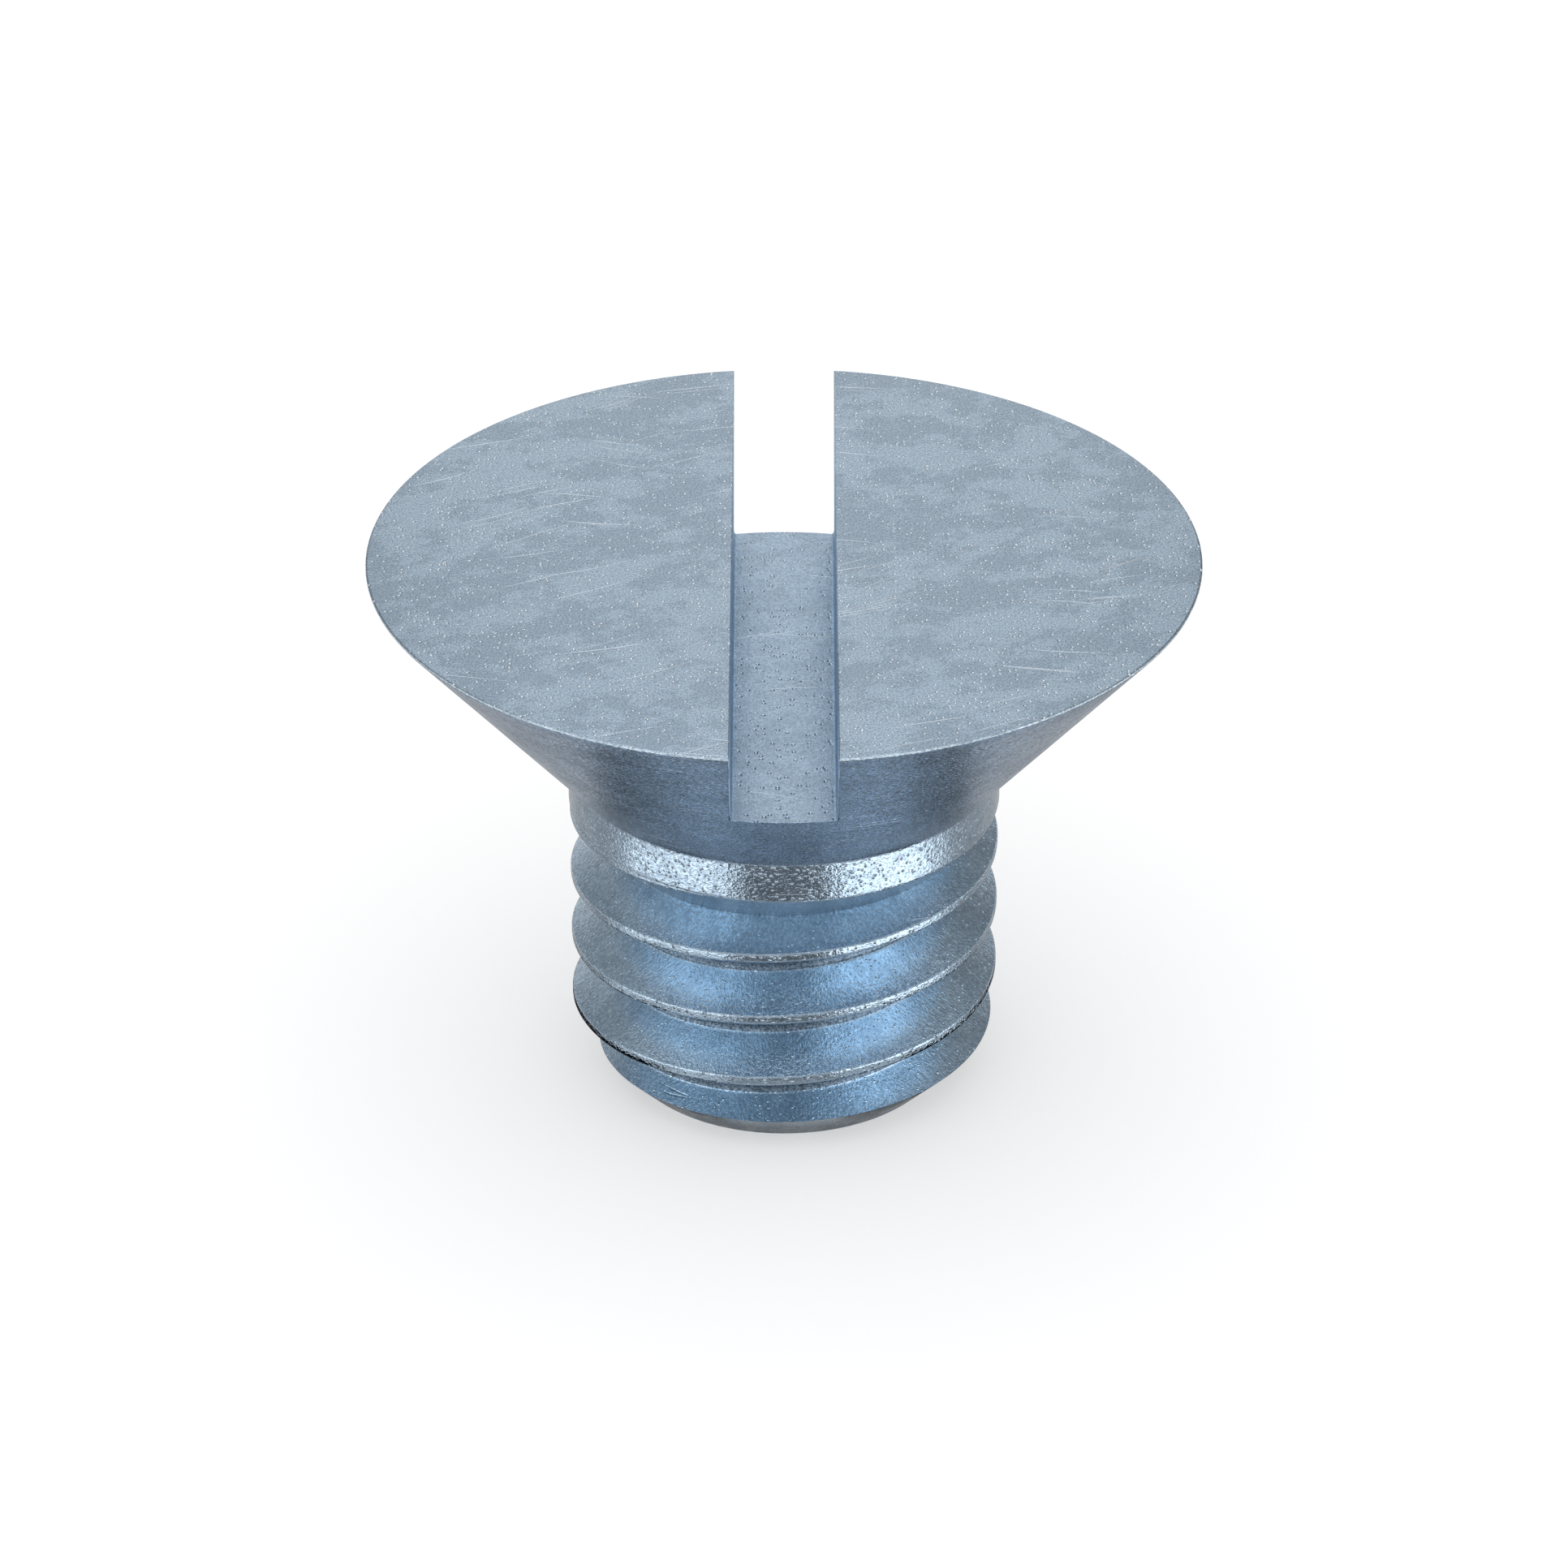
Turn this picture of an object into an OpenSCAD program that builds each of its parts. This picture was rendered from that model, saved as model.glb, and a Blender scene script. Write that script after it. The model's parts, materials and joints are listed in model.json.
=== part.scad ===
// Countersunk machine screw with a straight driver slot, one solid in zinc-plated steel.
// It stands on its tip: the origin is the middle of the tip face, and +Z runs up the axis to
// the flat top of the head. The slot runs along Y.

/* [Head] */
// Diameter of the flat top, over the rim
head_d = 9.2; // [8:0.1:11]
// Included angle of the countersunk cone
head_angle = 82; // [80:1:100]
// Height of the narrow land at the rim, between the flat top and the cone
rim_land = 0.03; // [0.01:0.01:0.1]

/* [Driver slot] */
// Width of the slot, wall to wall
slot_w = 1.15; // [0.6:0.05:2]
// Depth of the slot below the flat top
slot_depth = 1.47; // [0.6:0.01:1.7]

/* [Shank] */
// Overall length, from the flat top to the tip
screw_length = 6.4; // [6:0.1:16]
// Diameter over the thread crests
thread_d = 4.8; // [4:0.05:5.6]
// How far the plain neck stands proud of the thread crests, all round
neck_step = 0.01; // [0.01:0.01:0.1]
// Length of the plain neck between the cone and the thread
neck_length = 0.46; // [0.3:0.01:0.8]
// Angle that the end of the neck makes with the axis, where it narrows to the thread root
neck_end_angle = 45; // [30:1:60]

/* [Thread] */
// Rise of the thread in one turn
pitch = 0.794; // [0.7:0.002:0.9]
// Width of the flat along the crest
crest_w = 0.1; // [0.06:0.01:0.2]
// Width of the flat at the bottom of the groove
root_w = 0.105; // [0.06:0.005:0.2]
// Included angle between the two flanks of a groove
flank_angle = 60; // [50:1:60]
// Direction, seen from above, in which the ridge leaves the tip face
start_angle = 140; // [0:5:355]

/* [Tip] */
// How far inside the thread root the edge of the flat tip face lies
tip_step = 0.1; // [0.02:0.01:0.4]
// Angle that the tip chamfer makes with the axis
tip_angle = 45; // [30:1:60]

/* [Smoothness] */
// Flat steps in one turn of the helical flanks
steps_per_turn = 48; // [24:4:72]

/* [Hidden] */

round_steps = 96;
steel = [0.58, 0.67, 0.74];

head_r = head_d / 2;
thread_r = thread_d / 2;
neck_r = thread_r + neck_step;
flank_slope = tan(flank_angle / 2);
thread_depth = (pitch - crest_w - root_w) / 2 / flank_slope;
root_r = thread_r - thread_depth;
tip_r = root_r - tip_step;

// Heights above the tip face
top_z = screw_length;
land_z = top_z - rim_land;
cone_end_z = land_z - (head_r - neck_r) / tan(head_angle / 2);
neck_end_z = cone_end_z - neck_length;
root_start_z = neck_end_z - (neck_r - root_r) / tan(neck_end_angle);

// The ridge is rooted this far inside the core, by less than would close the flat of the groove,
// so that its turns never meet each other
sunk = 0.7 * root_w / 2 / flank_slope;
inner_r = root_r - sunk;

// Cuts and trims reach past the finished surfaces by this much
overrun = 0.1;

// Ridge profile: half its width at a distance r from the axis
function ridge_half_w(r) = crest_w / 2 + (thread_r - r) * flank_slope;

// The ridge starts wholly below the tip face, where it is trimmed off, and ends inside the neck
sweep_start_z = -ridge_half_w(inner_r) - overrun;
sweep_end_z = neck_end_z + ridge_half_w(root_r);
sweep_steps = ceil((sweep_end_z - sweep_start_z) / pitch * steps_per_turn);

// One cross-section of the ridge: inner bottom, crest bottom, crest top, inner top
function ridge_section(angle, z) =
    let (inner_w = ridge_half_w(inner_r), crest = crest_w / 2)
    [for (corner = [[inner_r, -inner_w], [thread_r, -crest], [thread_r, crest], [inner_r, inner_w]])
        [corner[0] * cos(angle), corner[0] * sin(angle), z + corner[1]]];

function sweep_z(i) = sweep_start_z + pitch * i / steps_per_turn;
function sweep_angle(i) = start_angle + 360 * sweep_z(i) / pitch;

// Two triangles for each side of the section, from step i to the next
function side_faces(i) =
    [for (k = [0:3], half = [0:1])
        let (a = 4 * i + k, b = 4 * i + (k + 1) % 4)
        half == 0 ? [a, b, a + 4] : [b, b + 4, a + 4]];

// Right-hand helical ridge with flat flanks and a flat crest
module thread_ridge() {
    points = [for (i = [0:sweep_steps]) each ridge_section(sweep_angle(i), sweep_z(i))];
    sides = [for (i = [0:sweep_steps - 1]) each side_faces(i)];
    last = 4 * sweep_steps;
    polyhedron(
        points = points,
        faces = concat(sides, [[3, 2, 1, 0]], [[last, last + 1, last + 2, last + 3]]),
        convexity = 10);
}

// Core of the thread, neck and head, turned as one profile from below the tip up
module turned_body() {
    rotate_extrude($fn = round_steps)
        polygon([
            [0, -overrun],
            [root_r, -overrun],
            [root_r, root_start_z],
            [neck_r, neck_end_z],
            [neck_r, cone_end_z],
            [head_r, land_z],
            [head_r, top_z],
            [0, top_z]
        ]);
}

// Everything above the tip face and inside the tip chamfer, which runs on outward past the head
module tip_envelope() {
    reach = screw_length + head_r;
    rotate_extrude($fn = round_steps)
        polygon([
            [0, 0],
            [tip_r, 0],
            [tip_r + reach * tan(tip_angle), reach],
            [0, reach]
        ]);
}

// Straight slot milled across the head from rim to rim
module driver_slot() {
    translate([-slot_w / 2, -head_r - overrun, top_z - slot_depth])
        cube([slot_w, head_d + 2 * overrun, slot_depth + overrun]);
}

module screw() {
    color(steel)
        difference() {
            intersection() {
                union() {
                    turned_body();
                    thread_ridge();
                }
                tip_envelope();
            }
            driver_slot();
        }
}

screw();
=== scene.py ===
# %% [markdown]
# # A countersunk machine screw
# The object is one small slotted screw in zinc-plated steel, standing on its flat tip. It is
# only 6.4 mm tall and fills the picture, so every face is seen from very close, and each one
# needs the finish that its own step of manufacture leaves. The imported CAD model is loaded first:
# it fixes the size and the place. The finer mesh made below takes its place in the picture.

# %% Load the frame
import json
import math

import bmesh
import bpy
from mathutils import Matrix, Vector


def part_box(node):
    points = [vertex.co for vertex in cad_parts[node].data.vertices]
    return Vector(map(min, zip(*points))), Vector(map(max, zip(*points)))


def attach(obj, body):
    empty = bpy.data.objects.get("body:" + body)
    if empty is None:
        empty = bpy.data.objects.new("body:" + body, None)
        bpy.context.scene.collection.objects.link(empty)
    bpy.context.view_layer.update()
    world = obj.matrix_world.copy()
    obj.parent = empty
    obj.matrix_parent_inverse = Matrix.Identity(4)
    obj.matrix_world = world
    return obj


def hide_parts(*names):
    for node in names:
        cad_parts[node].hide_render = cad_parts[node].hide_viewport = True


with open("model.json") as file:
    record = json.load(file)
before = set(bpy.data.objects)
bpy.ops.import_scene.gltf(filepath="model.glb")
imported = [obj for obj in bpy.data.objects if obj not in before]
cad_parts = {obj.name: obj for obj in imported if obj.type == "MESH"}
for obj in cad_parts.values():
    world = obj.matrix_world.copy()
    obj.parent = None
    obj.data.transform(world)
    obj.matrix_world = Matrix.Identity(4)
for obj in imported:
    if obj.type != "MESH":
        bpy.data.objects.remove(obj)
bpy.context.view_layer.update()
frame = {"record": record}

# %% [markdown]
# ## The driving sizes
# A screw is drawn from a handful of sizes, in millimetres because that is how a screw is
# dimensioned. The outer ones are read from the frame, so the picture can't drift from the solid,
# and the heights follow from each other as they do on a drawing. The mesh has to be in metres,
# and one factor at the end of each form turns one into the other.

# %% Sizes of the screw
MM = 0.001
node_low, node_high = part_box("screw")
neck = next(mount for mount in frame["record"]["mounts"] if mount["name"] == "neck")

top_z = node_high.z / MM
head_r = min(-node_low.x, node_high.x) / MM
neck_r = neck["dims"]["r_mm"]
neck_end_z = neck["pos_m"][2] / MM - neck["dims"]["length_mm"] / 2
cone_end_z = neck_end_z + neck["dims"]["length_mm"]
rim_land = 0.03

pitch = 0.794
thread_r = 2.4
crest_w = 0.1
root_w = 0.105
half_flank = math.radians(30)
root_r = thread_r - (pitch - crest_w - root_w) / 2 / math.tan(half_flank)
tip_step = 0.1
tip_r = root_r - tip_step
start_angle = math.radians(140)

slot_w = 1.15
slot_depth = 1.47

print(f"head {2 * head_r:.2f}, neck {2 * neck_r:.2f}, thread {2 * thread_r:.2f}, "
      f"core {2 * root_r:.2f}, length {top_z:.2f} mm")

# %% [markdown]
# ## Building finishes from nodes
# A finish is a small graph of nodes. Most of the graph is the same few steps: add a node, feed
# its sockets, take one of its outputs. Four short helpers keep the recipes below readable. The
# pattern is laid out on Object coordinates, turned into millimetres, so that a scale of 20 means
# twenty grains to a millimetre and the marks stay the same size on every face.


# %% Node helpers
def add(tree, kind, options=None, feeds=None):
    """Adds one node. options are its own settings; feeds gives its sockets a number or an output."""
    made = tree.nodes.new("ShaderNode" + kind)
    for name, value in (options or {}).items():
        setattr(made, name, value)
    for name, value in (feeds or {}).items():
        if isinstance(value, bpy.types.NodeSocket):
            tree.links.new(value, made.inputs[name])
        else:
            made.inputs[name].default_value = value
    return made


def maths(tree, operation, first, second):
    """One Math node on two numbers or sockets, and its result."""
    return add(tree, "Math", {"operation": operation}, {0: first, 1: second}).outputs[0]


def between(tree, value, low, high, to_low=0.0, to_high=1.0):
    """Eases a value that runs from low to high into one that runs from to_low to to_high."""
    feeds = {"Value": value, "From Min": low, "From Max": high, "To Min": to_low, "To Max": to_high}
    return add(tree, "MapRange", {"interpolation_type": "SMOOTHSTEP"}, feeds).outputs["Result"]


def vectors(tree, operation, feeds):
    """One Vector Math node, and its vector."""
    return add(tree, "VectorMath", {"operation": operation}, feeds).outputs[0]


# %% [markdown]
# ## Where the marks run
# On a flat face the tool has left its marks in one direction, so the pattern is simply drawn out
# that way. On a turned face the marks run round the axis. An angle would have a seam where it
# jumps from one end to the other, so the direction away from the axis is used instead: as a
# vector it comes back to itself after one turn, and the height is laid on top of it.


# %% Pattern layouts
def in_mm(tree):
    """Object coordinates in millimetres."""
    return vectors(tree, "SCALE", {0: add(tree, "TexCoord").outputs["Object"], "Scale": 1000})


def drawn_along_x(tree, points, along, across, turn=0.0):
    """A flat layout: scaled by along and across on X and Y, after a turn in degrees round the axis."""
    turned_points = add(tree, "VectorRotate", {"rotation_type": "Z_AXIS"},
                        {"Vector": points, "Angle": math.radians(turn)}).outputs[0]
    return vectors(tree, "MULTIPLY", {0: turned_points, 1: (along, across, 1)})


def drawn_round_axis(tree, points, around, up):
    """A turned layout: around scales it round the axis, at a radius of 1 mm, and up along the axis."""
    flat = vectors(tree, "MULTIPLY", {0: points, 1: (1, 1, 0)})
    outward = vectors(tree, "NORMALIZE", {0: flat})
    ring = vectors(tree, "SCALE", {0: outward, "Scale": around})
    height = vectors(tree, "MULTIPLY", {0: points, 1: (0, 0, up)})
    return vectors(tree, "ADD", {0: ring, 1: height})


# %% [markdown]
# ## The marks themselves
# Electroplated zinc is never an even mirror. Under a lens it has a fine crystal grain, scattered
# nodules and pits where the plating grew faster or slower, and hairline scratches from the
# tumbling that the screws go through. Noise gives the grain. Nodules and pits are the middles of
# Voronoi cells, each kept or dropped by the cell's own random colour. A hairline is such a spot
# in a layout that is squeezed along its length, with a little noise so that it isn't straight.


# %% Mark recipes
def grain(tree, layout, per_mm, detail, roughness):
    """Clouds or crystal grain, 0 to 1; a high roughness makes the edges of the clouds granular."""
    feeds = {"Vector": layout, "Scale": per_mm, "Detail": detail, "Roughness": roughness}
    return add(tree, "TexNoise", {"noise_dimensions": "3D"}, feeds).outputs[0]


def spots(tree, layout, per_mm, size, share):
    """Round spots, 1 in the middle and 0 outside, on a share of the cells."""
    cells = add(tree, "TexVoronoi", {"voronoi_dimensions": "3D", "feature": "F1"},
                {"Vector": layout, "Scale": per_mm, "Randomness": 1.0})
    dot = between(tree, cells.outputs["Distance"], size, size * 0.15)
    lot = add(tree, "SeparateColor", None, {"Color": cells.outputs["Color"]}).outputs["Red"]
    return maths(tree, "MULTIPLY", dot, maths(tree, "LESS_THAN", lot, share))


def wandering(tree, points, sway_mm):
    """The layout, pushed aside by up to sway_mm over a millimetre or two."""
    noise = add(tree, "TexNoise", {"noise_dimensions": "3D"},
                {"Vector": points, "Scale": 0.6, "Detail": 1.0}).outputs["Color"]
    centred = vectors(tree, "SUBTRACT", {0: noise, 1: (0.5, 0.5, 0.5)})
    return vectors(tree, "MULTIPLY_ADD", {0: centred, 1: (2 * sway_mm,) * 3, 2: points})


def mixed(tree, share, below, above):
    """One colour fading into another as share goes from 0 to 1."""
    feeds = {"Factor": share, "A": below, "B": above}
    return add(tree, "Mix", {"data_type": "RGBA"}, feeds).outputs["Result"]


def total(tree, parts):
    """Adds up (height in thousandths of a millimetre, pattern) pairs."""
    height = 0.0
    for micrometres, pattern in parts:
        height = add(tree, "Math", {"operation": "MULTIPLY_ADD"},
                     {0: pattern, 1: micrometres, 2: height}).outputs[0]
    return height


# %% [markdown]
# ## One plating on nine faces
# The whole screw has the same skin of zinc: a cool blue-grey metal, paler where the plating is
# smooth and darker and duller where it is matt. What differs is how each face was made before it
# was plated, so one recipe takes the depths of the marks, and each face gets its own numbers.
# Heights are in thousandths of a millimetre: a bump with a real height catches the light at a
# believable angle, and a negative height makes a dent. A tint scales the colour of the zinc; on
# the cone and in the thread's root it darkens it as painted shade, and on the rim it brightens it
# as a painted highlight.
# Metalness is the same all over, so it is set on the shader itself.

# %% Plated finish
PALE_ZINC = (0.345, 0.440, 0.535)
DULL_ZINC = (0.235, 0.308, 0.385)
PAINTED_GLINT_COLOUR = (0.80, 0.87, 0.93, 1)
DARK_PIT_COLOUR = (0.10, 0.12, 0.14, 1)
tool_turn = -17
hair_turns = (tool_turn, -30, 10)
hair_sways = (0.03, 0.25)
nodule_size, pit_size, hair_size = 0.34, 0.32, 0.22
pits_per_mm = 26
pit_depth_um = 2.5


def laid_out(tree, points, turned_face):
    """The layout of the clouds, that of the grain, and those of the hairlines, for a flat or turned face."""
    if turned_face:
        return (drawn_round_axis(tree, points, 2.0, 1.4),
                drawn_round_axis(tree, points, 2.4, 1.4),
                [drawn_round_axis(tree, wandering(tree, points, sway), 1.6, 26) for sway in hair_sways])
    return (drawn_along_x(tree, points, 0.8, 1.0, tool_turn),
            drawn_along_x(tree, points, 0.7, 0.6, tool_turn),
            [drawn_along_x(tree, wandering(tree, points, 0.25), 0.36, 19, turn) for turn in hair_turns])


def plated(name, turned_face, tint, *, smooth, matt, clouds_per_mm, dulling, mottle,
           grain_um, grain_per_mm, grain_detail, nodule_um, nodules_per_mm, nodules, painted_glint_strength,
           pits, scratch_um, scratches):
    """Zinc plating with a painted glint on its nodules and hairlines. smooth and matt are two roughnesses;
    nodules, pits and scratches are shares of cells.
    """
    material = bpy.data.materials.new(name)
    material.use_nodes = True
    tree = material.node_tree
    shader = tree.nodes["Principled BSDF"]
    shader.inputs["Metallic"].default_value = 1.0

    points = in_mm(tree)
    cloud_layout, grain_layout, scratch_layouts = laid_out(tree, points, turned_face)
    clouds = grain(tree, cloud_layout, clouds_per_mm, 9.0, 0.8)
    patch = between(tree, clouds, 0.46, 0.54, 1.0 - dulling, 1.0)
    crystals = grain(tree, grain_layout, grain_per_mm, grain_detail, 0.7)
    nodule = spots(tree, points, nodules_per_mm, nodule_size, nodules)
    pit = spots(tree, points, pits_per_mm, pit_size, pits)
    scratch = 0.0
    for layout in scratch_layouts:
        scratch = maths(tree, "MAXIMUM", scratch, spots(tree, layout, 1.0, hair_size, scratches))

    dull, pale = ([channel * share for channel, share in zip(zinc, tint)] + [1]
                  for zinc in (DULL_ZINC, PALE_ZINC))
    skin = mixed(tree, patch, dull, pale)
    depth = between(tree, crystals, 0.36, 0.64, 1.0 - mottle, 1.0 + mottle)
    skin = vectors(tree, "SCALE", {0: skin, "Scale": depth})
    # The pits are coloured nearly black.
    skin = mixed(tree, maths(tree, "MULTIPLY", pit, 0.7), skin, DARK_PIT_COLOUR)
    # Painted glint: nodules and hairlines are mixed towards a bright colour in place of the light they
    # catch.
    painted_glints = maths(tree, "MAXIMUM", between(tree, nodule, 0.1, 0.8),
                         maths(tree, "MULTIPLY", scratch, 0.6))
    skin = mixed(tree, maths(tree, "MULTIPLY", painted_glints, painted_glint_strength), skin, PAINTED_GLINT_COLOUR)
    tree.links.new(skin, shader.inputs["Base Color"])
    tree.links.new(between(tree, patch, 0, 1, matt, smooth), shader.inputs["Roughness"])

    height = total(tree, [(grain_um, crystals), (nodule_um, nodule), (-pit_depth_um, pit),
                          (-scratch_um, scratch)])
    bump = add(tree, "Bump", None, {"Strength": 1.0, "Distance": 1e-6, "Height": height})
    tree.links.new(bump.outputs["Normal"], shader.inputs["Normal"])
    print("finish:", name, len(tree.nodes), "nodes")
    return material


# %% [markdown]
# ## The top and the slot
# The top is faced flat and then tumbled, which leaves cloudy patches, hairline scratches and many
# small dents, whose bright colour is a painted glint; all are easy to see because this face is so
# large. They could be an image, but noise stays sharp however close the camera comes. The floor of
# the slot is cut with the saw's edge and keeps small dents. The saw's side leaves the walls rough,
# and the plating is paler and matt there.

# %% Top, slot floor and slot walls
faced_top = plated(
    "faced_top", False, (1, 1, 1), smooth=0.24, matt=0.30, clouds_per_mm=1.5, dulling=0.6,
    mottle=0.30, grain_um=4, grain_per_mm=65, grain_detail=3,
    nodule_um=-8, nodules_per_mm=15, nodules=0.5, painted_glint_strength=1.0,
    pits=0.04, scratch_um=4, scratches=0.24)
milled_floor = plated(
    "milled_floor", False, (1, 1.02, 1.05), smooth=0.24, matt=0.30, clouds_per_mm=1.6, dulling=0.35,
    mottle=0.24, grain_um=3, grain_per_mm=65, grain_detail=3,
    nodule_um=-10, nodules_per_mm=12, nodules=0.5, painted_glint_strength=0.5,
    pits=0.03, scratch_um=2, scratches=0.1)
milled_wall = plated(
    "milled_wall", False, (1.35, 1.4, 1.42), smooth=0.60, matt=0.70, clouds_per_mm=1.6, dulling=0.3,
    mottle=0.22, grain_um=3, grain_per_mm=65, grain_detail=3,
    nodule_um=-4, nodules_per_mm=21, nodules=0.2, painted_glint_strength=0.25,
    pits=0.03, scratch_um=2, scratches=0.05)

# %% [markdown]
# ## The cone
# The cone is turned, so fine marks run round it. It looks down and mirrors its own surroundings,
# and its tint darkens and blues the zinc further as painted shade, so it is the darkest and bluest
# face. Strong mottling and many hairlines on the turned layout give the brushed look without
# modelling a single groove.

# %% Cone
# Painted shade: the tint makes the cone's zinc darker and bluer than the top's.
turned_cone_painted_shade = plated(
    "turned_cone_painted_shade", True, (0.73, 0.82, 0.93), smooth=0.15, matt=0.24, clouds_per_mm=2.0, dulling=0.7,
    mottle=0.60, grain_um=6, grain_per_mm=45, grain_detail=3,
    nodule_um=4, nodules_per_mm=21, nodules=0.3, painted_glint_strength=0.3,
    pits=0.2, scratch_um=3, scratches=0.6)

# %% [markdown]
# ## The neck and the thread
# The thread dies roll the neck and the crests almost to a polish. A low roughness makes them show
# hard blacks and whites, and tall round nodules with a little painted glint break those up into the
# glitter of the real one.
# The flanks are rolled too, with a crinkled skin, and reflect each other into a deep blue.

# %% Neck, crests and flanks
burnished_neck = plated(
    "burnished_neck", True, (1, 1, 1), smooth=0.06, matt=0.1, clouds_per_mm=3.0, dulling=0.5,
    mottle=0.10, grain_um=9, grain_per_mm=22, grain_detail=1,
    nodule_um=16, nodules_per_mm=17, nodules=1.0, painted_glint_strength=0.2,
    pits=0.6, scratch_um=2, scratches=0.1)
rolled_thread = plated(
    "rolled_thread", True, (1.15, 1.20, 1.22), smooth=0.12, matt=0.22, clouds_per_mm=2.0, dulling=0.5,
    mottle=0.14, grain_um=9, grain_per_mm=30, grain_detail=2,
    nodule_um=6, nodules_per_mm=22, nodules=0.18, painted_glint_strength=0.05,
    pits=0.5, scratch_um=3, scratches=0.06)

# %% [markdown]
# ## Painted highlight, painted shade and a fresh cut
# Three narrow places finish the screw. The rim gets a pale colour as a painted highlight, standing
# in for the shine of its rounding; the root of the thread gets a dark, matt colour as painted
# shade, and the chamfer of the tip is a grey cut. Each is a finish of its own on a few faces, which
# stays in place from every side, where a mask worked out from the shape's curvature would need a
# bake first.

# %% Rim, thread root and tip
# Painted highlight: the rim's rounding gets a pale colour in place of its shine.
rim_painted_highlight = plated(
    "rim_painted_highlight", True, (1.75, 1.60, 1.45), smooth=0.20, matt=0.30, clouds_per_mm=3.0, dulling=0.7,
    mottle=0.30, grain_um=3, grain_per_mm=45, grain_detail=2,
    nodule_um=3, nodules_per_mm=21, nodules=0.3, painted_glint_strength=0.3,
    pits=0.2, scratch_um=1, scratches=0.1)
# Painted shade: the root of the thread gets a dark, matt colour where it lies in the crease.
thread_root_painted_shade = plated(
    "thread_root_painted_shade", True, (0.42, 0.45, 0.48), smooth=0.42, matt=0.55, clouds_per_mm=2.0, dulling=0.5,
    mottle=0.50, grain_um=8, grain_per_mm=30, grain_detail=2,
    nodule_um=5, nodules_per_mm=24, nodules=0.2, painted_glint_strength=0.2,
    pits=0.6, scratch_um=3, scratches=0.06)
cut_tip = plated(
    "cut_tip", True, (0.82, 0.80, 0.78), smooth=0.24, matt=0.34, clouds_per_mm=2.0, dulling=0.9,
    mottle=0.40, grain_um=5, grain_per_mm=50, grain_detail=3,
    nodule_um=4, nodules_per_mm=21, nodules=0.2, painted_glint_strength=0.1,
    pits=0.10, scratch_um=3, scratches=0.6)

# %% [markdown]
# ## A turned form
# Head, neck and tip are made on a lathe, and bmesh has the same tool: a wire profile is spun
# round the axis. The corners of the profile are rounded first with a vertex bevel, because no
# machined edge is perfectly sharp, and the rounding is what catches the light. A full spin is
# merged with itself, and the two open ends are closed with one flat face each.

# %% Turning helper
ROUND_STEPS = 256


def rounded(form, corners, roundings, segments):
    """Rounds the numbered corners of a wire profile; roundings gives {corner: mm}."""
    for corner, size in roundings.items():
        bmesh.ops.bevel(form, geom=[corners[corner]], offset=size, segments=segments, profile=0.5,
                        affect="VERTICES", clamp_overlap=False, material=-1)


def turned(profile, roundings):
    """Closed solid of revolution from (radius, height) points, with some of its corners rounded."""
    form = bmesh.new()
    points = [form.verts.new((radius, 0, height)) for radius, height in profile]
    for lower, upper in zip(points, points[1:]):
        form.edges.new((lower, upper))
    rounded(form, points, roundings, 6)
    bmesh.ops.spin(form, geom=form.verts[:] + form.edges[:], cent=(0, 0, 0), axis=(0, 0, 1),
                   angle=2 * math.pi, steps=ROUND_STEPS, use_merge=True, use_duplicate=False)
    closed_up(form, 1e-6)
    return form


def closed_up(form, merge_mm):
    """Merges what lies in one place, closes the open ends and turns all faces outwards."""
    bmesh.ops.remove_doubles(form, verts=form.verts[:], dist=merge_mm)
    bmesh.ops.holes_fill(form, edges=[edge for edge in form.edges if edge.is_boundary], sides=0)
    bmesh.ops.recalc_face_normals(form, faces=form.faces[:])


def as_object(form, name, finishes):
    """Puts a form drawn in millimetres into the scene in metres; its faces are numbered by finish."""
    bmesh.ops.scale(form, vec=(MM, MM, MM), verts=form.verts[:])
    mesh = bpy.data.meshes.new(name)
    form.to_mesh(mesh)
    form.free()
    for finish in finishes:
        mesh.materials.append(finish)
    made = bpy.data.objects.new(name, mesh)
    bpy.context.collection.objects.link(made)
    print(name, len(mesh.polygons), "faces")
    return made


# %% [markdown]
# ## The blank
# On a real screw the head is upset from wire and then turned. The blank is the same outline
# down to the core of the thread. The cone runs out to a knife edge that is then rounded, so that
# the finished rim is as wide as the solid's and no wider. It is drawn in several rings, because
# the slot will cut through it, and long thin faces shade badly around such a cut.

# %% Turn the blank
cone_slope = (head_r - neck_r) / (top_z - rim_land - cone_end_z)
edge_r = head_r + rim_land * cone_slope
below_tip = -0.1
corner_rounding = 0.03
rim_rounding = 0.057
cone_rings = 12
cone_line = [(neck_r + (edge_r - neck_r) * ring / cone_rings,
              cone_end_z + (top_z - cone_end_z) * ring / cone_rings) for ring in range(cone_rings + 1)]
cone_foot, cone_edge = 3, 3 + cone_rings

blank_form = turned([
    (root_r, below_tip),
    (root_r, neck_end_z - (neck_r - root_r)),
    (neck_r, neck_end_z),
    *cone_line,
    (head_r / 2, top_z),
], {1: corner_rounding, 2: corner_rounding, cone_foot: corner_rounding, cone_edge: rim_rounding})

# %% [markdown]
# ## A finish for each face of the blank
# Every face carries the number of its finish. On a turned blank the place of a face is enough to
# tell them apart: how high it lies, how far out, and at the rim which way it looks, because only
# the middle of the rounding gets the painted highlight.

# %% Number the faces
blank_finishes = [faced_top, turned_cone_painted_shade, burnished_neck, rolled_thread, thread_root_painted_shade, rim_painted_highlight]
rim_zone, top_zone, step_zone, core_zone = 0.1, 0.02, 0.01, 0.04


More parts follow.
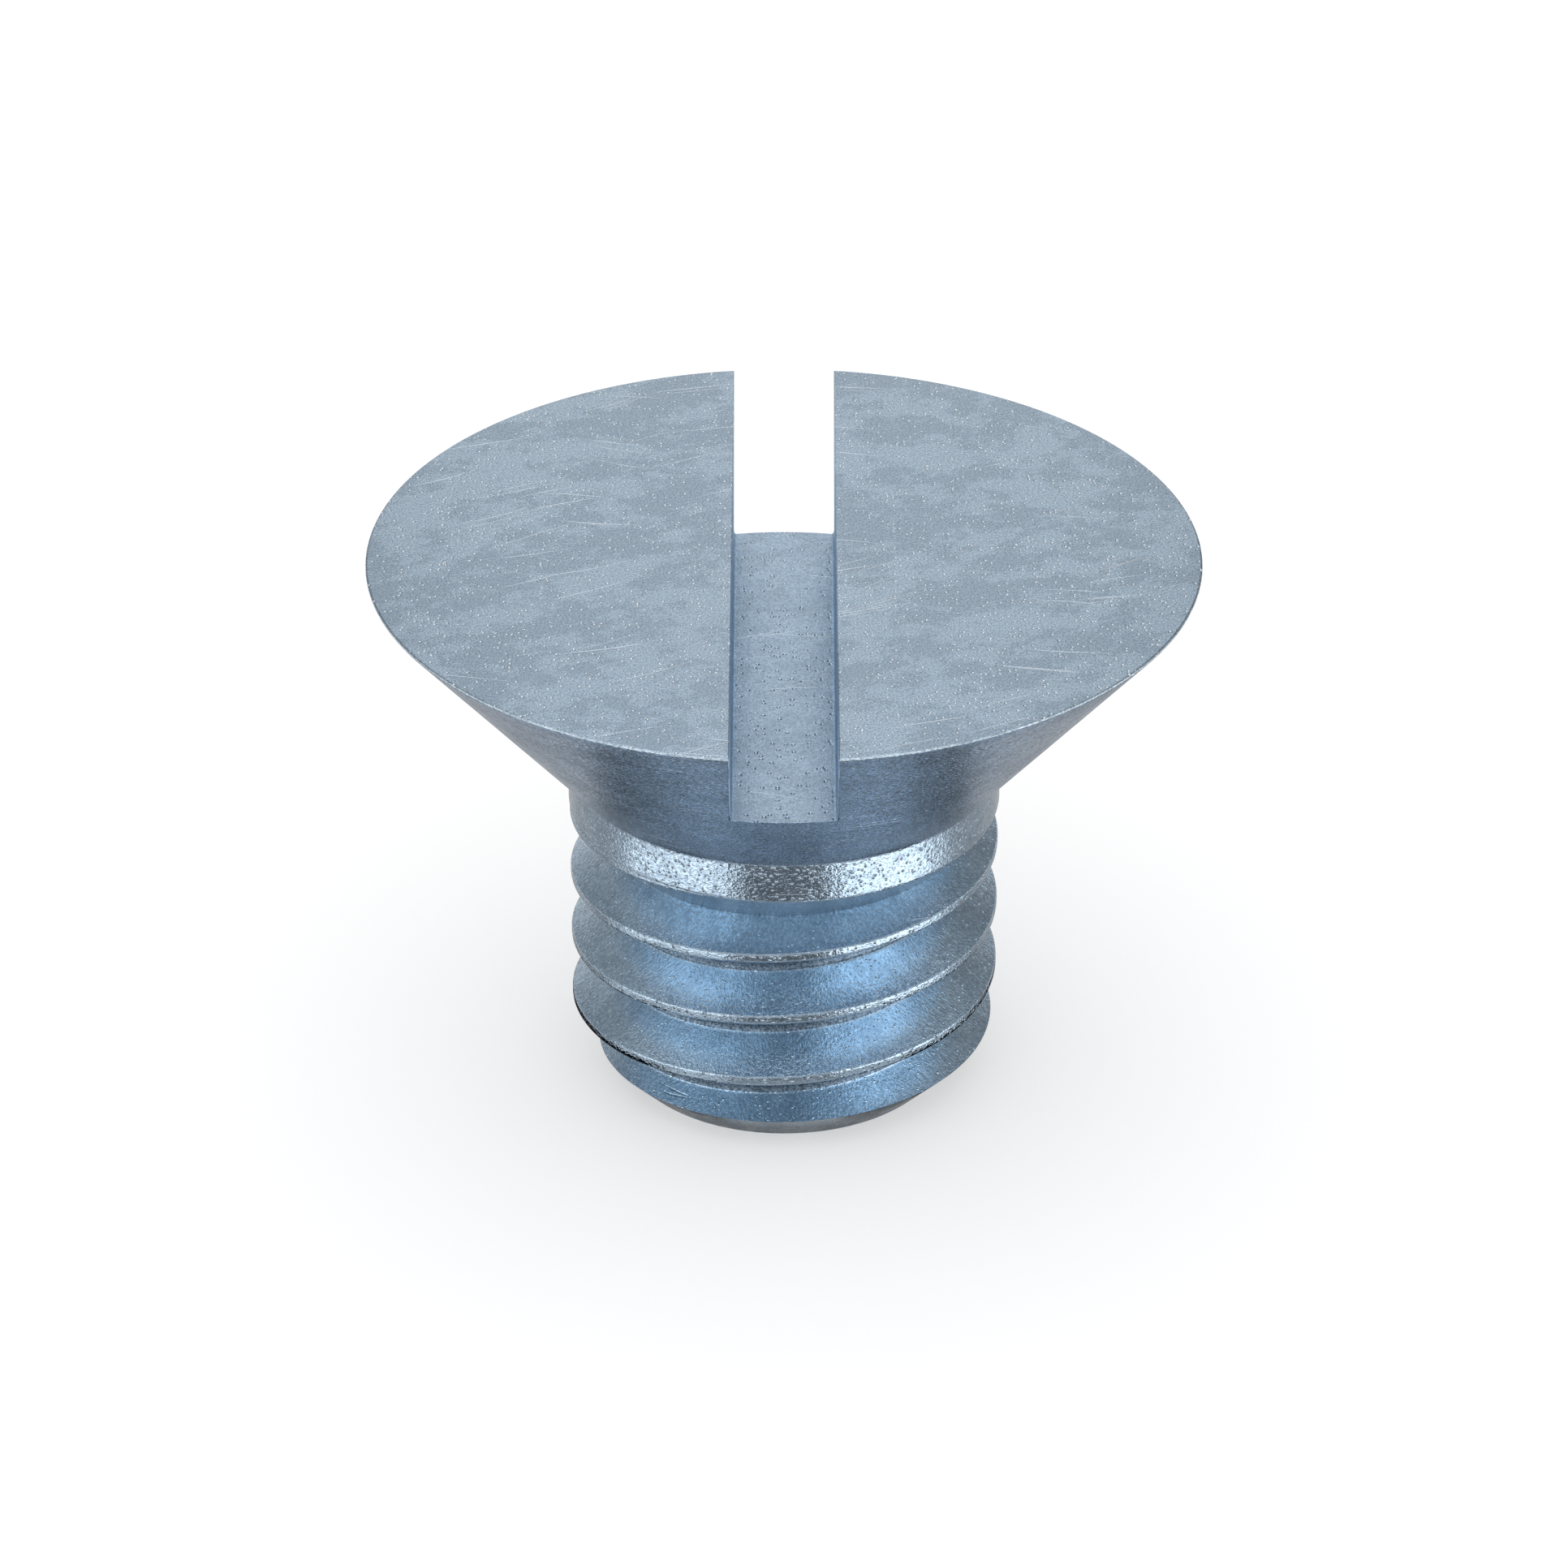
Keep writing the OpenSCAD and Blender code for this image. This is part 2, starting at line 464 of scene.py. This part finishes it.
def finish_of(face):
    """The finish of one face of the blank."""
    centre = face.calc_center_median()
    # The middle of the rim's rounding gets the painted highlight.
    if centre.z > top_z - rim_zone and -0.1 < face.normal.z < 0.9:
        return rim_painted_highlight
    if centre.z > top_z - top_zone:
        return faced_top
    if centre.z > cone_end_z + step_zone:
        return turned_cone_painted_shade
    if centre.z > neck_end_z - step_zone:
        return burnished_neck
    # Faces close to the core get the root's painted shade.
    return rolled_thread if centre.xy.length > root_r + core_zone else thread_root_painted_shade


for blank_face in blank_form.faces:
    blank_face.material_index = blank_finishes.index(finish_of(blank_face))
screw = as_object(blank_form, "zinc_plated_screw", blank_finishes)

# %% [markdown]
# ## The thread ridge
# A rolled thread is one ridge that climbs the core as a helix. Spin makes it too: its dvec lifts
# every step by a share of the pitch. The section starts as one face with 60 degree flanks, a
# narrow crest and a foot that runs out into the core. Its crest corners are rounded as the
# rolling die leaves them, and its foot corners too, where a real thread has a fillet. The sweep
# starts below the tip and ends inside the head, so that both ends are cut off or hidden. Spin
# grows slow over thousands of steps, so only one turn is spun: copies of it, each one pitch
# higher, are merged end to end, and the two ends are closed last.

# %% Draw the section of the ridge
foot_dip = 0.004
foot_r = root_r - foot_dip
foot_half_w = pitch / 2 - 0.05 * root_w
root_half_w = (pitch - root_w) / 2
inner_r = root_r - 0.04
sweep_low = -foot_half_w - 0.02
turns = math.ceil((neck_end_z + root_half_w - sweep_low) / pitch)
root_fillet, lower_crest_rounding, upper_crest_rounding = 0.045, 0.03, 0.018

ridge_form = bmesh.new()
section = [ridge_form.verts.new((radius, 0, sweep_low + height)) for radius, height in (
    (inner_r, -foot_half_w), (foot_r, -foot_half_w), (root_r, -root_half_w), (thread_r, -crest_w / 2),
    (thread_r, crest_w / 2), (root_r, root_half_w), (foot_r, foot_half_w), (inner_r, foot_half_w))]
for corner, following in zip(section, section[1:] + section[:1]):
    ridge_form.edges.new((corner, following))
rounded(ridge_form, section, {2: root_fillet, 3: lower_crest_rounding, 4: upper_crest_rounding,
                              5: root_fillet}, 5)
print("section of the ridge:", len(ridge_form.verts), "points")

# %% Sweep it up the core
first_angle = start_angle + 2 * math.pi * sweep_low / pitch
bmesh.ops.rotate(ridge_form, verts=ridge_form.verts[:], cent=(0, 0, 0),
                 matrix=Matrix.Rotation(first_angle, 3, "Z"))
bmesh.ops.spin(ridge_form, geom=ridge_form.verts[:] + ridge_form.edges[:], cent=(0, 0, 0),
               axis=(0, 0, 1), dvec=(0, 0, pitch / ROUND_STEPS), angle=2 * math.pi,
               steps=ROUND_STEPS, use_merge=False, use_duplicate=False)
one_turn = ridge_form.verts[:] + ridge_form.edges[:] + ridge_form.faces[:]
for turn in range(1, turns):
    copy = bmesh.ops.duplicate(ridge_form, geom=one_turn)["geom"]
    bmesh.ops.translate(ridge_form, vec=(0, 0, turn * pitch),
                        verts=[part for part in copy if isinstance(part, bmesh.types.BMVert)])
closed_up(ridge_form, 1e-4)

ridge_finishes = [rolled_thread, burnished_neck, thread_root_painted_shade]
crest_zone, root_zone = 0.012, 0.02
for ridge_face in ridge_form.faces:
    radius = ridge_face.calc_center_median().xy.length
    # Faces close to the core get the root's painted shade.
    finish = (burnished_neck if radius > thread_r - crest_zone
              else thread_root_painted_shade if radius < root_r + root_zone else rolled_thread)
    ridge_face.material_index = ridge_finishes.index(finish)
print(turns, "turns, open edges:", sum(not edge.is_manifold for edge in ridge_form.edges))
ridge = as_object(ridge_form, "thread_ridge", ridge_finishes)

# %% [markdown]
# ## The tip and the slot
# The bar is cut off square and chamfered, and the slot is milled straight across. Both are cuts,
# so both are modelled as what they take away or leave: a wide cone with its flat end at the tip,
# which keeps only what lies inside it, and a long block for the slot cutter. A slotting saw has
# slightly rounded teeth, so the two lower edges of the block are bevelled, and the slot gets
# the small fillets that draw a dark line along each side of its floor.

# %% Shape the cutters
reach = 8
floor_fillet = 0.035
tip_form = turned([(tip_r / 2, 0), (tip_r, 0), (tip_r + reach, reach), (tip_r, reach)],
                  {1: corner_rounding})
tip_envelope = as_object(tip_form, "tip_envelope", [cut_tip])

slot_form = bmesh.new()
bmesh.ops.create_cube(slot_form, size=1)
bmesh.ops.scale(slot_form, vec=(slot_w, 3 * head_r, 2 * slot_depth), verts=slot_form.verts[:])
bmesh.ops.translate(slot_form, vec=(0, 0, top_z), verts=slot_form.verts[:])
lower_edges = [edge for edge in slot_form.edges
               if all(vertex.co.z < top_z for vertex in edge.verts)
               and abs(edge.verts[0].co.x - edge.verts[1].co.x) < 0.1]
bmesh.ops.bevel(slot_form, geom=lower_edges, offset=floor_fillet, offset_type="OFFSET", segments=4,
                profile=0.5, affect="EDGES", clamp_overlap=False, material=-1)
slot_form.normal_update()
for cutter_face in slot_form.faces:
    cutter_face.material_index = 0 if cutter_face.normal.z < -0.999 else 1
slot_cutter = as_object(slot_form, "slot_cutter", [milled_floor, milled_wall])


# %% [markdown]
# ## Joining and cutting
# A Boolean modifier with the exact solver does the work of the machine shop. Each modifier is
# applied at once, by taking the evaluated mesh, and the tool is thrown away. With the material
# mode on TRANSFER, the faces that a tool leaves keep the tool's own finish, so the slot comes
# out milled and the chamfer comes out cut, with no need to pick their faces afterwards.


# %% Run the booleans
def machined(piece, tool, operation):
    """Applies one exact boolean to the piece and removes the tool."""
    modifier = piece.modifiers.new(operation.lower(), "BOOLEAN")
    modifier.operation = operation
    modifier.solver = "EXACT"
    modifier.material_mode = "TRANSFER"
    modifier.object = tool
    depsgraph = bpy.context.evaluated_depsgraph_get()
    result = bpy.data.meshes.new_from_object(piece.evaluated_get(depsgraph))
    piece.modifiers.clear()
    piece.data = result
    bpy.data.objects.remove(tool, do_unlink=True)
    print(operation, len(result.polygons), "faces,", len(result.materials), "finishes")


machined(screw, ridge, "UNION")
machined(screw, tip_envelope, "INTERSECT")
machined(screw, slot_cutter, "DIFFERENCE")

# %% [markdown]
# ## Breaking the slot's edges
# Milling leaves a burr, and tumbling takes it off and rounds the edge by about a hundredth of a
# millimetre. That is only a pixel or two here, but it draws the thin bright line along the slot.
# The finishes make these edges easy to find: they are where a milled face meets any other one.
# Together they form one closed loop round the mouth of the slot, which a bevel follows cleanly.

# %% Round the slot's edges
slot_rounding = 0.014
form = bmesh.new()
form.from_mesh(screw.data)
milled = [screw.data.materials.find(finish.name) for finish in (milled_floor, milled_wall)]
mouth = [edge for edge in form.edges
         if sorted(face.material_index in milled for face in edge.link_faces) == [False, True]]
print("mouth of the slot:", len(mouth), "edges")
bmesh.ops.bevel(form, geom=mouth, offset=slot_rounding * MM, offset_type="OFFSET", segments=3,
                profile=0.5, affect="EDGES", clamp_overlap=False, material=-1)
print("after rounding:", len(form.faces), "faces; open edges:",
      sum(not edge.is_manifold for edge in form.edges),
      "; volume:", round(form.calc_volume() * 1e9, 2), "mm3")
form.to_mesh(screw.data)
form.free()

# %% [markdown]
# ## Shading the faces
# Smooth shading blends the normals across small steps, so that 256 steps look round. On its own
# it would also bend the shine of the flat top near the rim, where tiny faces meet a huge one.
# Edges above 35 degrees are kept sharp, and a Weighted Normal modifier lets the largest face
# decide the normal, so the flats stay flat right up to the rounding.

# %% Smooth with weighted normals
screw.data.shade_smooth()
screw.data.set_sharp_from_angle(angle=math.radians(35))
weighting = screw.modifiers.new("flat_faces_decide", "WEIGHTED_NORMAL")
weighting.keep_sharp = True
weighting.weight = 100

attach(screw, "root")
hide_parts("screw")
print("finishes on the screw:", [slot.name for slot in screw.material_slots])

# %% [markdown]
# ## The floor
# The photograph has a plain white ground. The floor is nearly white by itself and is lit by the
# same light as the screw, so it keeps the soft shadow under the head. What it lacks to pure
# white is added as a little light of its own, only for rays from the camera and for reflections,
# so that the metal shows the same white ground and nothing more is thrown on the object.

# %% Lay the floor
floor_grey = 0.55
lift_to_white = 0.46

floor_form = bmesh.new()
bmesh.ops.create_grid(floor_form, x_segments=1, y_segments=1, size=1000)
floor_white = bpy.data.materials.new("white_floor")
floor_white.use_nodes = True
floor_tree = floor_white.node_tree
floor_shader = floor_tree.nodes["Principled BSDF"]
floor_shader.inputs["Base Color"].default_value = (floor_grey, floor_grey, floor_grey, 1)
floor_shader.inputs["Roughness"].default_value = 1.0
floor_shader.inputs["Specular IOR Level"].default_value = 0.0
floor_shader.inputs["Emission Color"].default_value = (1, 1, 1, 1)
path = add(floor_tree, "LightPath")
seen = maths(floor_tree, "MAXIMUM", path.outputs["Is Camera Ray"], path.outputs["Is Glossy Ray"])
seen = maths(floor_tree, "MAXIMUM", seen, path.outputs["Is Transmission Ray"])
floor_tree.links.new(maths(floor_tree, "MULTIPLY", seen, lift_to_white),
                     floor_shader.inputs["Emission Strength"])
floor = as_object(floor_form, "floor", [floor_white])

# %% [markdown]
# ## The light
# A metal screw shows mostly what stands around it. An even white world is the tent that wraps
# the whole object, and it is what the top and the outer flanks mirror. Two wide soft boxes hang
# above, one a little behind the screw and one in front. They could be small and strong, but then
# the flat top would mirror a glaring spot into every view from above. Wide ones stay as pale as
# the world, so the top keeps its colour, and they draw a soft shadow.

# %% Light the scene
world = bpy.data.worlds.new("studio")
bpy.context.scene.world = world
world.use_nodes = True
world.node_tree.nodes["Background"].inputs["Color"].default_value = (1.0, 1.0, 1.0, 1)
world.node_tree.nodes["Background"].inputs["Strength"].default_value = 0.95
box_side_mm = 170
box_watts = 0.05


def soft_box(name, place_mm, aim_mm):
    """A square area lamp, placed and aimed in millimetres."""
    lamp = bpy.data.lights.new(name, "AREA")
    lamp.size = box_side_mm * MM
    lamp.energy = box_watts
    made = bpy.data.objects.new(name, lamp)
    made.location = Vector(place_mm) * MM
    made.rotation_euler = (Vector(aim_mm) - Vector(place_mm)).to_track_quat("-Z", "Y").to_euler()
    bpy.context.collection.objects.link(made)
    print(name, box_side_mm, "mm wide,", box_watts, "W")


soft_box("back_lamp", (-10, 60, 190), (0, 0, 5))
soft_box("front_lamp", (0, -100, 170), (0, 0, 5))

# %% [markdown]
# ## Cards for the metal
# Product photographers give polished metal its contrast with cards: a white one where a surface
# should gleam, a black one where it should go deep. Only reflections see these, so they are out
# of the picture and neither light nor shade anything. Each is one edge spun through an angle:
# a flat card is a sector of a ring just above the floor, and a standing card is a curved wall.
# Each has one even brightness, where 1 is the white of the ground.

# %% Card helpers
card_z = 0.03
card_steps = 24


def card(name, foot, head, from_degrees, to_degrees, brightness):
    """A card from foot to head, both (radius, height) in mm; angles grow from the front to the right."""
    start = math.radians(from_degrees - 90)
    sheet = bmesh.new()
    ends = [sheet.verts.new((radius * math.cos(start), radius * math.sin(start), height))
            for radius, height in (foot, head)]
    sheet.edges.new(ends)
    bmesh.ops.spin(sheet, geom=sheet.verts[:] + sheet.edges[:], cent=(0, 0, 0), axis=(0, 0, 1),
                   angle=math.radians(to_degrees - from_degrees), steps=card_steps,
                   use_merge=False, use_duplicate=False)
    finish = bpy.data.materials.new(name)
    finish.use_nodes = True
    shader = finish.node_tree.nodes["Principled BSDF"]
    shader.inputs["Base Color"].default_value = (0.01, 0.01, 0.01, 1)
    shader.inputs["Specular IOR Level"].default_value = 0.0
    shader.inputs["Emission Color"].default_value = (1, 1, 1, 1)
    shader.inputs["Emission Strength"].default_value = brightness
    made = as_object(sheet, name, [finish])
    made.visible_camera = False
    made.visible_diffuse = False
    made.visible_shadow = False


def flat_card(name, inner, outer, from_degrees, to_degrees, brightness):
    """A card that lies on the floor, from one radius to another."""
    card(name, (inner, card_z), (outer, card_z), from_degrees, to_degrees, brightness)


# %% [markdown]
# ## Cards on the floor
# The cone looks down, so its front and its dark zones mirror the floor close to the tip. A black
# ring there draws the deep bands left and right, and a grey one behind tones down the cone's
# outlines. In front a dark strip keeps the middle of the neck and of the flanks dark.

# %% Lay the flat cards
flat_card("black_card_near", 2.2, 4.4, -20, 20, 0.6)
flat_card("black_card_front", 4.4, 12, -20, 20, 0.25)
flat_card("black_ring", 2.0, 3.7, 48, 312, 0.0)
flat_card("black_patch_left", 2.0, 2.8, -48, -20, 0.1)
flat_card("black_patch_right", 2.0, 2.8, 20, 48, 0.1)
flat_card("grey_ring_behind", 3.7, 14, 84, 276, 0.52)

# %% [markdown]
# ## Low white cards
# The two bright patches on the neck and on each turn of the thread are the photographer's white
# cards. They stand close to the screw, left and right of its front, and end at mid height,
# because higher ones would brighten the cone. The left one is dimmer in its lower part, as the
# flanks are on that side, and grey cards on the floor behind both hold back the white ground.

# %% Stand the low cards
card("low_card_left", (4.7, 0.62), (4.6, 1.95), -66, -22, 1.35)
card("white_card_left", (4.6, 1.95), (4.5, 2.7), -66, -22, 2.5)
card("white_card_right", (4.7, 0.62), (4.5, 2.7), 22, 66, 2.6)
flat_card("dark_card_left", 4.75, 6.6, -70, -20, 0.45)
flat_card("dark_card_right", 4.75, 6.6, 20, 70, 0.45)

# %% [markdown]
# ## Far cards
# Far cards replace the world where it is too bright for the metal. The outer flanks see the grey
# ones at the sides, the roots and the rim see the wide ones in front, and the first flank sees
# the low sky through the underside of the neck. The last card lies under the tip's chamfer.

# %% Stand the far cards
card("grey_card_left", (30, 4), (24, 40), -158, -98, 0.4)
card("grey_card_right", (30, 4), (24, 40), 98, 158, 0.32)
card("wide_card_front", (26, 0), (22, 14), -100, 100, 0.8)
card("high_card_front", (22, 14), (12, 28), -100, 100, 0.85)
card("low_sky_left", (25, 3), (23.5, 9), -100, -30, 1.2)
card("low_sky_right", (25, 3), (23.5, 9), 30, 100, 2.0)
flat_card("grey_card_under", 0.3, 2.0, -180, 180, 0.33)

# %% [markdown]
# ## The camera
# The screw is seen from almost thirty degrees above, along the slot. The distance follows from
# how much the far half of the rim is foreshortened, and the lens from how wide the head is in
# the picture. The distance is given in radii of the head, because that is how it was measured.

# %% Place the camera
camera_data = bpy.data.cameras.new("camera")
camera_data.lens = 161.17
camera_data.sensor_width = 36
camera_data.clip_start = 0.002
camera_data.clip_end = 10
camera = bpy.data.objects.new("camera", camera_data)
bpy.context.collection.objects.link(camera)
elevation = math.radians(29.767)
aim_below_top = 0.6314
distance_in_radii = 17.095
aim = Vector((0, 0, top_z - aim_below_top * head_r)) * MM
away = Vector((0, -math.cos(elevation), math.sin(elevation)))
camera.location = aim + away * distance_in_radii * head_r * MM
camera.rotation_euler = (math.radians(90) - elevation, 0, 0)
bpy.context.scene.camera = camera
bpy.context.scene.view_settings.view_transform = "Standard"
print("camera", [round(c / MM, 1) for c in camera.location], "mm")
